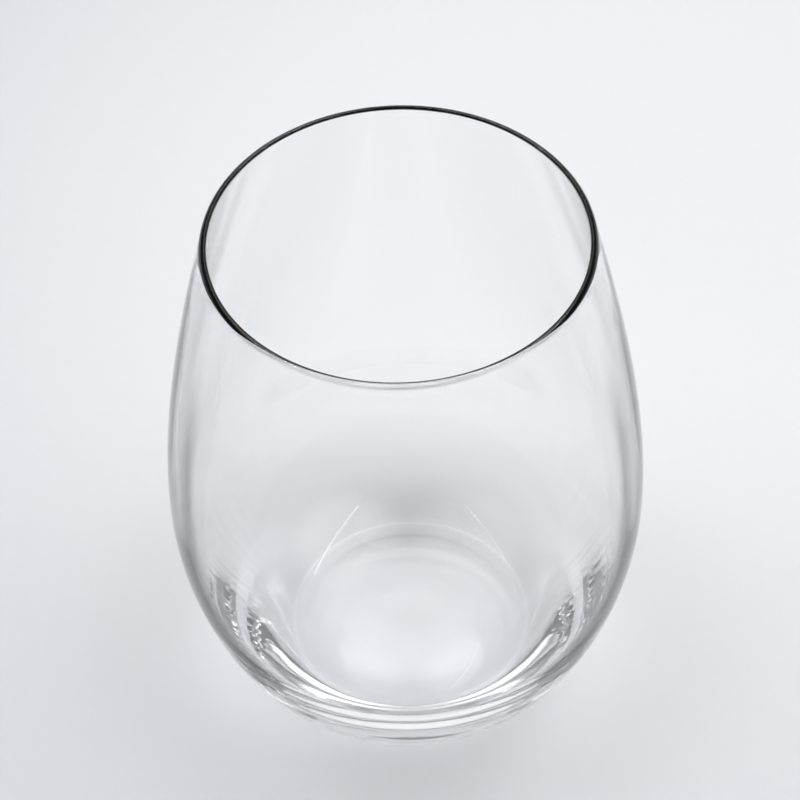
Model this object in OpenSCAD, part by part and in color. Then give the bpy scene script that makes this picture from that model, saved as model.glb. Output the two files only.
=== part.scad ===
// Stemless wine glass, one piece of clear glass with a fire-polished lip.
// Millimetres. The origin is on the table at the centre of the foot, and +Z is the axis.

/* [Overall] */
// Height from the table to the top of the lip
height = 114; // [100:1:128]
// Outside diameter of the lip
lip_d = 68; // [58:1:76]
// Outside diameter at the belly, the widest level
belly_d = 90; // [82:1:100]
// Height of the belly above the table
belly_z = 48; // [42:0.5:56]
// Outside diameter of the ring that stands on the table
foot_d = 51; // [44:1:58]

/* [Glass thickness] */
// Wall at the lip
lip_wall = 1.2; // [0.8:0.1:2]
// Wall at the belly
belly_wall = 1.5; // [1:0.1:2.5]
// Glass on the axis, between the punt and the floor of the bowl
base_thick = 3; // [2.4:0.1:6]

/* [Foot] */
// Rise of the punt, the shallow hollow under the base
punt_rise = 1.5; // [0.5:0.1:3]
// Width of the flat ring that touches the table
foot_land = 1.5; // [0.8:0.1:3]
// Radius of the rounded edge between the heel and the flat ring
foot_round = 2; // [1:0.1:3.5]

/* [Side] */
// Lean of the side below the lip, in degrees from upright
lip_lean = 14.6; // [9:0.1:19]
// Slope of the heel where it comes down to the foot, in degrees from level
heel_slope = 40; // [34:1:46]

/* [Hidden] */

// How far each curve runs straight on from its end, as a share of the height or width it spans
lip_pull_share = 0.28;
belly_up_pull_share = 0.325;
belly_down_pull_share = 0.38;
foot_pull_share = 0.3;
floor_pull_share = 0.8;
bowl_pull_share = 0.5;
punt_edge_pull_share = 0.3;
punt_top_pull_share = 0.35;

// Height of the punt's first pull above the table, as a share of its rise
punt_edge_rise_share = 0.8;

// Steps along each curve of the outline and round the glass
side_steps = 11;
bowl_steps = 13;
lip_steps = 3;
punt_steps = 5;
foot_steps = 3;
round_steps = 180;

belly_r = belly_d / 2;
inner_r = belly_r - belly_wall;
foot_r = foot_d / 2;
land_r = foot_r - foot_land;
lip_round_r = lip_wall / 2;
lip_r = lip_d / 2 - lip_round_r;
lip_z = height - lip_round_r;
floor_z = punt_rise + base_thick;

// Unit vectors down the side at the lip and square out of it
down_lip = [sin(lip_lean), -cos(lip_lean)];
out_lip = [cos(lip_lean), sin(lip_lean)];

// A point on the cubic curve with four control points
function bezier_at(p, t) =
    pow(1 - t, 3) * p[0] + 3 * pow(1 - t, 2) * t * p[1] + 3 * (1 - t) * t * t * p[2] + pow(t, 3) * p[3];

// The curve as points, without its last one
function bezier_points(p, steps) = [for (i = [0:steps - 1]) bezier_at(p, i / steps)];

function reversed(p) = [for (i = [len(p) - 1:-1:0]) p[i]];

// The rounded edge of the foot, from the heel at 0 to the flat ring at 1
function foot_round_at(share) =
    let (a = heel_slope * (1 - share))
    [foot_r + foot_round * sin(a), foot_round * (1 - cos(a))];

// The outside of the glass, from the lip down to the belly and on to the foot
function upper_side(start, r) =
    let (rise = lip_z - belly_z)
    [
        start,
        start + down_lip * rise * lip_pull_share,
        [r, belly_z + rise * belly_up_pull_share],
        [r, belly_z]
    ];

outer_upper = upper_side([lip_r, lip_z] + out_lip * lip_round_r, belly_r);
foot_top = foot_round_at(0);
outer_lower = [
    [belly_r, belly_z],
    [belly_r, belly_z * (1 - belly_down_pull_share)],
    foot_top + [cos(heel_slope), sin(heel_slope)] * belly_z * foot_pull_share,
    foot_top
];

// Down to the belly the inside follows the outside
inner_upper = upper_side([lip_r, lip_z] - out_lip * lip_round_r, inner_r);

// Below it one smooth curve forms the bowl, so the glass grows thick at the heel and thin on the axis
bowl = [
    [0, floor_z],
    [inner_r * floor_pull_share, floor_z],
    [inner_r, belly_z - (belly_z - floor_z) * bowl_pull_share],
    [inner_r, belly_z]
];

// The hollow under the base, from the flat ring in to the axis
punt_curve = [
    [land_r, 0],
    [land_r * (1 - punt_edge_pull_share), punt_rise * punt_edge_rise_share],
    [land_r * punt_top_pull_share, punt_rise],
    [0, punt_rise]
];

// Half a circle over the lip, from the inside over its top to the outside
lip_angles = concat(
    [for (i = [0:lip_steps - 1]) 180 + lip_lean - (90 + lip_lean) * i / lip_steps],
    [for (i = [0:lip_steps - 1]) 90 - (90 - lip_lean) * i / lip_steps]
);
lip_round = [for (a = lip_angles) [lip_r, lip_z] + lip_round_r * [cos(a), sin(a)]];

outline = concat(
    bezier_points(outer_upper, side_steps),
    bezier_points(outer_lower, side_steps),
    [for (i = [0:foot_steps]) foot_round_at(i / foot_steps)],
    bezier_points(punt_curve, punt_steps),
    [[0, punt_rise]],
    bezier_points(bowl, bowl_steps),
    bezier_points(reversed(inner_upper), side_steps),
    lip_round
);

module glass() {
    color("aliceblue", 0.4)
        rotate_extrude($fn = round_steps)
            polygon(outline);
}

glass();
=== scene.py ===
import math

import bmesh
import bpy
from mathutils import Matrix, Vector


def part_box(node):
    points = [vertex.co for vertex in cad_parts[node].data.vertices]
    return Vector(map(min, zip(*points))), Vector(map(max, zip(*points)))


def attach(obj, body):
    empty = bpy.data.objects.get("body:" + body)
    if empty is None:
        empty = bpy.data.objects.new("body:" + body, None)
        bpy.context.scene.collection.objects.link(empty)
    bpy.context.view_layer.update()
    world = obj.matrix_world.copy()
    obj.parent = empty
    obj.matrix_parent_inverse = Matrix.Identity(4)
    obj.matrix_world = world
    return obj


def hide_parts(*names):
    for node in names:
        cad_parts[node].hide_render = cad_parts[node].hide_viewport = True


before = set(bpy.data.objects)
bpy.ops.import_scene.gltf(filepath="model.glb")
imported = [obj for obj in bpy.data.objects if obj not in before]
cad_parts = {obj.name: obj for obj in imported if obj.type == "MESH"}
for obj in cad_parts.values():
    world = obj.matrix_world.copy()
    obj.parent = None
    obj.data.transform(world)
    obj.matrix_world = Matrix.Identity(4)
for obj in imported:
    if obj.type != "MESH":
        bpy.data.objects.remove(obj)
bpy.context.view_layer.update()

# Sizes of the glass in metres. The height and the belly come from the frame
low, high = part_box("glass")
HEIGHT = high[2] - low[2]
BELLY_R = (high[0] - low[0]) / 2
BELLY_Z = 0.048
LIP_D = 0.068
FOOT_R = 0.0255
FOOT_ROUND = 0.002
HEEL_SLOPE = math.radians(40)
LIP_WALL = 0.0012
BELLY_WALL = 0.0015
BASE_THICK = 0.003
PUNT_RISE = 0.0015
FOOT_LAND = 0.0015
LIP_LEAN = math.radians(14.6)

# How far each curve runs straight on from its end, as a share of what it spans
LIP_PULL_SHARE = 0.28
BELLY_UP_PULL_SHARE = 0.325
BELLY_DOWN_PULL_SHARE = 0.38
FOOT_PULL_SHARE = 0.3
FLOOR_PULL_SHARE = 0.8
BOWL_PULL_SHARE = 0.5
PUNT_EDGE_PULL_SHARE = 0.3
PUNT_EDGE_RISE_SHARE = 0.8
PUNT_TOP_PULL_SHARE = 0.35
LIP_INNER_PULL_SHARE = 1.2
LIP_OUTER_PULL_SHARE = 2.4

# Where the polished lip runs into the outside, as a share of the curve from the lip to the belly
LIP_EDGE_SHARE = 0.01

# Steps along the outline and round the glass, and how near two points have to be to become one
SIDE_STEPS = 44
BOWL_STEPS = 72
PUNT_STEPS = 20
LIP_STEPS = 20
FOOT_STEPS = 10
ROUND_STEPS = 192
SAME_POINT = 1e-6

# Painted shade: the glass's colour is made dark where it is seen edge on, low down. This stands partly
# for the light lost on the long way through the glass there, and partly for the shaded table near the
# foot where that way comes out
PAINTED_SHADE_FACING = (0.66, 0.78)
PAINTED_SHADE_TOP = (0.072, 0.052)
PAINTED_SHADE_FOOT = (0.022, 0.042)
GLASS_CLEAR = (1, 1, 1, 1)
GLASS_PAINTED_SHADE = (0.01, 0.01, 0.012, 1)
GLASS_BODY = (0.9, 0.905, 0.91, 1)
BODY_DENSITY = 35.0
GLASS_IOR = 1.52

# Faint streaks that the mould leaves: rates are noise cells per radian and per metre, depths in metres.
# The fine ones are on the outside of the heel, where the height less the rise times the radius is small
FINE_STREAKS = (16.0, 50.0)
BROAD_WAVES = (2.5, 18.0)
STREAK_DETAIL = 1.0
HEEL_RISE = 1.6
HEEL_SIDES = (-0.037, -0.042)
STREAK_DEPTH = 0.00006
WALL_DEPTH = 0.000003
WAVE_DEPTH = 0.00006
STILL_CENTRE = (0.03, 0.036)

# The table's sheet, with a little air under the foot, so that light gets under the ring
TABLE_GAP = 0.0001
TABLE_R = 3.0
TABLE_SIDES = 64
# Painted light on the sheet: its colour is brightest round one place behind and right of the glass and
# darker further out, standing in for the fall of the light
PAINTED_LIGHT_CENTRE = (0.06, 0.12, 0)
PAINTED_FALLOFF_REACH = (0.06, 0.31)
GRAIN_SCALE = 350.0
GRAIN_SHARE = 0.06
SHEET_PAINTED_LIT = (0.84, 0.85, 0.868, 1)
SHEET_PAINTED_SHADE = (0.58, 0.60, 0.64, 1)
SHEET_ROUGHNESS = 0.7

# The light box: an even glow, and soft round lights as azimuth, height and spread in degrees, and level
EVEN_LIGHT = 0.1
SOFT_LIGHTS = (
    (0, 63, 30, 3.1),
    (180, 63, 30, 1.9),
    (135, 62, 28, 1.5),
    (50, 62, 28, 1.25),
    (90, 36, 20, 1.2),
)
SKY_TINT = (0.985, 0.99, 1.0, 1)

# The pale surroundings that the camera sees, and that the glass sees level with the table
SURROUND_LEVEL = 0.5
SURROUND_TOP = (0.1, 0.04)

# Rows of small lamps, by places on a ceiling 1 above the table: both ends, how many, and level.
# Below the lowest height a row isn't drawn any longer, but smeared out
LAMP_ROWS = (
    ((-0.52, -0.32), (-0.79, 0.41), 16, 60.0),
    ((0.43, -0.34), (0.73, 0.45), 200, 12.0),
)
LAMP_R = 0.012
LOWEST_ROW = 0.2

# Light passes many faces of the glass, so its paths are long
LIGHT_BOUNCES = 32
MIRROR_BOUNCES = 9

# The camera: its lens was chosen, and the rim's ellipse in the photograph then gives its place and tilt
FOCAL_MM = 108.0
SENSOR_MM = 36.0
IMAGE_PX = 800
CAMERA_TILT = math.radians(48.91)
CAMERA_ROLL = math.radians(-1.95)
CAMERA_DISTANCE = 0.4097
CAMERA_NEAR = 0.01
RIM_PX = (398.2, 239.8)


def bezier_at(p, t):
    """A point on the cubic curve with four control points."""
    u = 1 - t
    return p[0] * u**3 + p[1] * 3 * u * u * t + p[2] * 3 * u * t * t + p[3] * t**3


def bezier_points(p, steps, start=0.0):
    """The curve as points, without its last one."""
    return [bezier_at(p, start + (1 - start) * i / steps) for i in range(steps)]


def upper_side(start, down, radius, top):
    """The control points from the lip down to the belly."""
    rise = top - BELLY_Z
    return [
        start,
        start + down * rise * LIP_PULL_SHARE,
        Vector((radius, BELLY_Z + rise * BELLY_UP_PULL_SHARE)),
        Vector((radius, BELLY_Z)),
    ]


def polished_lip(inner, outer, down):
    """The round over the lip, from the inside to the outside, with its top at the full height."""
    curve = [
        inner,
        inner - down * LIP_WALL * LIP_INNER_PULL_SHARE,
        outer - down * LIP_WALL * LIP_OUTER_PULL_SHARE,
        outer,
    ]
    points = bezier_points(curve, LIP_STEPS)
    stretch = (HEIGHT - inner.y) / (max(p.y for p in points) - inner.y)
    for point in points[1:]:
        point.y = inner.y + (point.y - inner.y) * stretch
    return points


def glass_outline():
    """The closed outline of the wall and base, as radius and height."""
    round_r = LIP_WALL / 2
    lip = Vector((LIP_D / 2 - round_r, HEIGHT - round_r))
    down = Vector((math.sin(LIP_LEAN), -math.cos(LIP_LEAN)))
    out = Vector((math.cos(LIP_LEAN), math.sin(LIP_LEAN)))
    inner_r = BELLY_R - BELLY_WALL
    land_r = FOOT_R - FOOT_LAND
    floor_z = PUNT_RISE + BASE_THICK

    outer_upper = upper_side(lip + out * round_r, down, BELLY_R, lip.y)
    inner_upper = upper_side(lip - out * round_r, down, inner_r, lip.y)
    foot_turns = [HEEL_SLOPE * (1 - i / FOOT_STEPS) for i in range(FOOT_STEPS)]
    foot_round = [
        Vector((FOOT_R + FOOT_ROUND * math.sin(a), FOOT_ROUND * (1 - math.cos(a))))
        for a in foot_turns
    ]
    heel_out = Vector((math.cos(HEEL_SLOPE), math.sin(HEEL_SLOPE)))
    outer_lower = [
        Vector((BELLY_R, BELLY_Z)),
        Vector((BELLY_R, BELLY_Z * (1 - BELLY_DOWN_PULL_SHARE))),
        foot_round[0] + heel_out * BELLY_Z * FOOT_PULL_SHARE,
        foot_round[0],
    ]
    bowl = [
        Vector((0, floor_z)),
        Vector((inner_r * FLOOR_PULL_SHARE, floor_z)),
        Vector((inner_r, BELLY_Z - (BELLY_Z - floor_z) * BOWL_PULL_SHARE)),
        Vector((inner_r, BELLY_Z)),
    ]
    punt_curve = [
        Vector((land_r, 0)),
        Vector((land_r * (1 - PUNT_EDGE_PULL_SHARE), PUNT_RISE * PUNT_EDGE_RISE_SHARE)),
        Vector((land_r * PUNT_TOP_PULL_SHARE, PUNT_RISE)),
        Vector((0, PUNT_RISE)),
    ]

    return (
        bezier_points(bowl, BOWL_STEPS)
        + bezier_points(inner_upper[::-1], SIDE_STEPS)
        + polished_lip(inner_upper[0], bezier_at(outer_upper, LIP_EDGE_SHARE), down)
        + bezier_points(outer_upper, SIDE_STEPS, LIP_EDGE_SHARE)
        + bezier_points(outer_lower, SIDE_STEPS)
        + foot_round
        + [Vector((FOOT_R, 0))]
        + bezier_points(punt_curve, PUNT_STEPS)
        + [Vector((0, PUNT_RISE))]
    )


def new_object(name, bm, material):
    """An object in the scene from the bmesh."""
    mesh = bpy.data.meshes.new(name)
    bm.to_mesh(mesh)
    bm.free()
    mesh.materials.append(material)
    obj = bpy.data.objects.new(name, mesh)
    bpy.context.scene.collection.objects.link(obj)
    return obj


def new_material(name):
    """A material, its node tree and its Principled shader."""
    material = bpy.data.materials.new(name)
    material.use_nodes = True
    return material, material.node_tree, material.node_tree.nodes["Principled BSDF"]


def feed(tree, sockets, sources):
    """Links each socket to its source, or sets it where the source is a plain value."""
    for socket, source in zip(sockets, sources):
        if isinstance(source, bpy.types.NodeSocket):
            tree.links.new(source, socket)
        else:
            socket.default_value = source


def maths(tree, operation, *sources):
    """The result of a maths node."""
    node = tree.nodes.new("ShaderNodeMath")
    node.operation = operation
    feed(tree, node.inputs, sources)
    return node.outputs["Value"]


def vector_maths(tree, operation, *sources):
    """The result of a vector maths node: a number where the operation gives one, or a vector."""
    node = tree.nodes.new("ShaderNodeVectorMath")
    node.operation = operation
    feed(tree, node.inputs, sources)
    number = operation in ("DOT_PRODUCT", "DISTANCE", "LENGTH")
    return node.outputs["Value" if number else "Vector"]


def smooth(tree, value, start, end):
    """0 at the start and 1 at the end, with a soft step between them."""
    node = tree.nodes.new("ShaderNodeMapRange")
    node.interpolation_type = "SMOOTHSTEP"
    node.inputs["From Min"].default_value = start
    node.inputs["From Max"].default_value = end
    tree.links.new(value, node.inputs["Value"])
    return node.outputs["Result"]


def blend(tree, amount, first, second):
    """A colour between two, by the amount."""
    node = tree.nodes.new("ShaderNodeMix")
    node.data_type = "RGBA"
    tree.links.new(amount, node.inputs["Factor"])
    feed(tree, [i for i in node.inputs if i.type == "RGBA"], (first, second))
    return next(o for o in node.outputs if o.type == "RGBA")


def noise(tree, place, scale):
    """A noise texture, to be set further."""
    node = tree.nodes.new("ShaderNodeTexNoise")
    node.inputs["Scale"].default_value = scale
    tree.links.new(place, node.inputs["Vector"])
    return node


def wrapped_noise(tree, place, rates):
    """Noise drawn round the axis, with one rate round it and one along it."""
    around, along = rates
    flat = vector_maths(tree, "MULTIPLY", place, (1, 1, 0))
    turn = vector_maths(tree, "NORMALIZE", flat)
    rise = vector_maths(tree, "MULTIPLY", place, (0, 0, along / around))
    node = noise(tree, vector_maths(tree, "ADD", turn, rise), around)
    node.inputs["Detail"].default_value = STREAK_DETAIL
    return node.outputs["Fac"]


def painted_edge_shade(tree, z):
    """The colour of the glass, with painted shade where the low side is seen edge on."""
    below = smooth(tree, z, *PAINTED_SHADE_TOP)
    above = smooth(tree, z, *PAINTED_SHADE_FOOT)
    view = tree.nodes.new("ShaderNodeLayerWeight")
    edge = smooth(tree, view.outputs["Facing"], *PAINTED_SHADE_FACING)
    amount = maths(tree, "MULTIPLY", maths(tree, "MULTIPLY", below, above), edge)
    return blend(tree, amount, GLASS_CLEAR, GLASS_PAINTED_SHADE)


def mould_streaks(tree, place, z):
    """The height of the streaks: fine ones outside the heel, broad ones everywhere but round the axis."""
    radius = vector_maths(tree, "LENGTH", vector_maths(tree, "MULTIPLY", place, (1, 1, 0)))
    side = maths(tree, "MULTIPLY_ADD", radius, -HEEL_RISE, z)
    heel = smooth(tree, side, *HEEL_SIDES)
    depth = maths(tree, "MULTIPLY_ADD", heel, STREAK_DEPTH, WALL_DEPTH)
    fine = maths(tree, "MULTIPLY", wrapped_noise(tree, place, FINE_STREAKS), depth)
    broad = wrapped_noise(tree, place, BROAD_WAVES)
    height = maths(tree, "MULTIPLY_ADD", broad, WAVE_DEPTH, fine)
    return maths(tree, "MULTIPLY", height, smooth(tree, radius, *STILL_CENTRE))


def clear_glass():
    """Clear glass with painted shade at its low edges, mould streaks and a little absorption."""
    material, tree, shader = new_material("clear_glass")
    shader.inputs["Roughness"].default_value = 0.0
    shader.inputs["IOR"].default_value = GLASS_IOR
    shader.inputs["Transmission Weight"].default_value = 1.0

    place = tree.nodes.new("ShaderNodeTexCoord").outputs["Object"]
    parts = tree.nodes.new("ShaderNodeSeparateXYZ")
    tree.links.new(place, parts.inputs["Vector"])
    z = parts.outputs["Z"]
    # Painted shade: the base colour turns dark where the low side of the glass is seen edge on
    tree.links.new(painted_edge_shade(tree, z), shader.inputs["Base Color"])

    waves = tree.nodes.new("ShaderNodeBump")
    waves.inputs["Distance"].default_value = 1.0
    tree.links.new(mould_streaks(tree, place, z), waves.inputs["Height"])
    tree.links.new(waves.outputs["Normal"], shader.inputs["Normal"])

    body = tree.nodes.new("ShaderNodeVolumeAbsorption")
    body.inputs["Color"].default_value = GLASS_BODY
    body.inputs["Density"].default_value = BODY_DENSITY
    tree.links.new(body.outputs["Volume"], tree.nodes["Material Output"].inputs["Volume"])
    return material


def spin_glass():
    """The glass, spun from its outline."""
    bm = bmesh.new()
    points = [bm.verts.new((p.x, 0, p.y)) for p in glass_outline()]
    edges = [bm.edges.new(pair) for pair in zip(points, points[1:])]
    bmesh.ops.spin(
        bm, geom=points + edges, cent=(0, 0, 0), axis=(0, 0, 1),
        angle=math.tau, steps=ROUND_STEPS, use_merge=True,
    )
    bmesh.ops.remove_doubles(bm, verts=bm.verts, dist=SAME_POINT)
    bmesh.ops.recalc_face_normals(bm, faces=bm.faces)
    for face in bm.faces:
        face.smooth = True
    return new_object("glass_body", bm, clear_glass())


def white_sheet():
    """A white sheet with painted light: brightest behind the glass and to its right and darker further
    out, with a faint grain.
    """
    material, tree, shader = new_material("white_table")
    place = tree.nodes.new("ShaderNodeTexCoord").outputs["Object"]
    # Painted light: the sheet's colour falls off with the distance from one bright place
    painted_falloff = smooth(tree, vector_maths(tree, "DISTANCE", place, PAINTED_LIGHT_CENTRE), *PAINTED_FALLOFF_REACH)
    grain = noise(tree, place, GRAIN_SCALE).outputs["Fac"]
    painted_falloff_and_grain = maths(tree, "MULTIPLY_ADD", grain, GRAIN_SHARE, painted_falloff)
    tree.links.new(blend(tree, painted_falloff_and_grain, SHEET_PAINTED_LIT, SHEET_PAINTED_SHADE), shader.inputs["Base Color"])
    shader.inputs["Roughness"].default_value = SHEET_ROUGHNESS
    return material


def table_top():
    """The round sheet that the glass stands on."""
    bm = bmesh.new()
    bmesh.ops.create_circle(bm, cap_ends=True, segments=TABLE_SIDES, radius=TABLE_R)
    bmesh.ops.translate(bm, verts=bm.verts, vec=(0, 0, -TABLE_GAP))
    return new_object("table_top", bm, white_sheet())


def towards(azimuth, height):
    """A direction from two angles in degrees, the first from the right and round to the back."""
    a, h = math.radians(azimuth), math.radians(height)
    return Vector((math.cos(h) * math.cos(a), math.cos(h) * math.sin(a), math.sin(h)))


def soft_light(tree, way, azimuth, height, spread, level):
    """A round light, brightest in its middle."""
    near = vector_maths(tree, "DOT_PRODUCT", way, towards(azimuth, height))
    glow = smooth(tree, near, math.cos(math.radians(spread)), 1.0)
    return maths(tree, "MULTIPLY", glow, level)


def lamp_row(tree, across, deep, start, end, count, level):
    """A row of small lamps, drawn at even steps between two places on the ceiling."""
    run = Vector(end) - Vector(start)
    ahead = run.normalized()
    step = run.length / count

    def measured(x, y):
        """How far a place lies from the row's start in one direction."""
        part = maths(tree, "MULTIPLY", across, x)
        whole = maths(tree, "MULTIPLY_ADD", deep, y, part)
        return maths(tree, "SUBTRACT", whole, start[0] * x + start[1] * y)

    far = measured(ahead.x, ahead.y)
    off = measured(-ahead.y, ahead.x)
    inside = maths(tree, "COMPARE", far, run.length / 2, run.length / 2)
    cell = maths(tree, "FRACT", maths(tree, "DIVIDE", far, step))
    near = maths(tree, "MULTIPLY", maths(tree, "SUBTRACT", cell, 0.5), step)
    wide = maths(tree, "MULTIPLY", off, off)
    gap = maths(tree, "SQRT", maths(tree, "MULTIPLY_ADD", near, near, wide))
    dot = maths(tree, "MULTIPLY", smooth(tree, gap, LAMP_R, LAMP_R / 2), inside)
    return maths(tree, "MULTIPLY", dot, level)


def set_world():
    """The light box, with pale surroundings and lamps that light nothing but show in the glass."""
    world = bpy.data.worlds.new("light_box")
    bpy.context.scene.world = world
    world.use_nodes = True
    tree = world.node_tree
    way = tree.nodes.new("ShaderNodeTexCoord").outputs["Generated"]
    total = EVEN_LIGHT
    for light in SOFT_LIGHTS:
        total = maths(tree, "ADD", soft_light(tree, way, *light), total)

    parts = tree.nodes.new("ShaderNodeSeparateXYZ")
    tree.links.new(way, parts.inputs["Vector"])
    path = tree.nodes.new("ShaderNodeLightPath")
    level = smooth(tree, parts.outputs["Z"], *SURROUND_TOP)
    level = maths(tree, "MAXIMUM", level, path.outputs["Is Camera Ray"])
    shown = maths(tree, "MULTIPLY", level, SURROUND_LEVEL)

    up = maths(tree, "MAXIMUM", parts.outputs["Z"], LOWEST_ROW)
    across = maths(tree, "DIVIDE", parts.outputs["X"], up)
    deep = maths(tree, "DIVIDE", parts.outputs["Y"], up)
    for row in LAMP_ROWS:
        shown = maths(tree, "ADD", shown, lamp_row(tree, across, deep, *row))
    seen = maths(tree, "SUBTRACT", 1.0, path.outputs["Is Diffuse Ray"])
    total = maths(tree, "MULTIPLY_ADD", shown, seen, total)

    back = tree.nodes["Background"]
    back.inputs["Color"].default_value = SKY_TINT
    tree.links.new(total, back.inputs["Strength"])


def set_camera():
    """Places the camera so that the rim's centre falls on its pixel."""
    focal_px = FOCAL_MM / SENSOR_MM * IMAGE_PX
    ahead = Vector((0, math.cos(CAMERA_TILT), -math.sin(CAMERA_TILT)))
    right = Vector((1, 0, 0))
    up = right.cross(ahead)
    side = right * math.cos(CAMERA_ROLL) + up * math.sin(CAMERA_ROLL)
    up = up * math.cos(CAMERA_ROLL) - right * math.sin(CAMERA_ROLL)
    half = IMAGE_PX / 2
    ray = ahead * focal_px + side * (RIM_PX[0] - half) - up * (RIM_PX[1] - half)
    place = Vector((0, 0, HEIGHT - LIP_WALL / 2)) - ray.normalized() * CAMERA_DISTANCE
    data = bpy.data.cameras.new("camera")
    data.lens = FOCAL_MM
    data.sensor_width = SENSOR_MM
    data.clip_start = CAMERA_NEAR
    camera = bpy.data.objects.new("camera", data)
    bpy.context.scene.collection.objects.link(camera)
    turn = Matrix((side, up, -ahead)).transposed().to_4x4()
    camera.matrix_world = Matrix.Translation(place) @ turn
    bpy.context.scene.camera = camera


glass = spin_glass()
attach(glass, "root")
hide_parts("glass")
table_top()

set_world()
set_camera()
bpy.context.scene.view_settings.view_transform = "Standard"

# Reflections stay sharp, however often the light has turned
paths = bpy.context.scene.cycles
paths.max_bounces = LIGHT_BOUNCES
paths.transmission_bounces = LIGHT_BOUNCES
paths.glossy_bounces = MIRROR_BOUNCES
paths.blur_glossy = 0.0
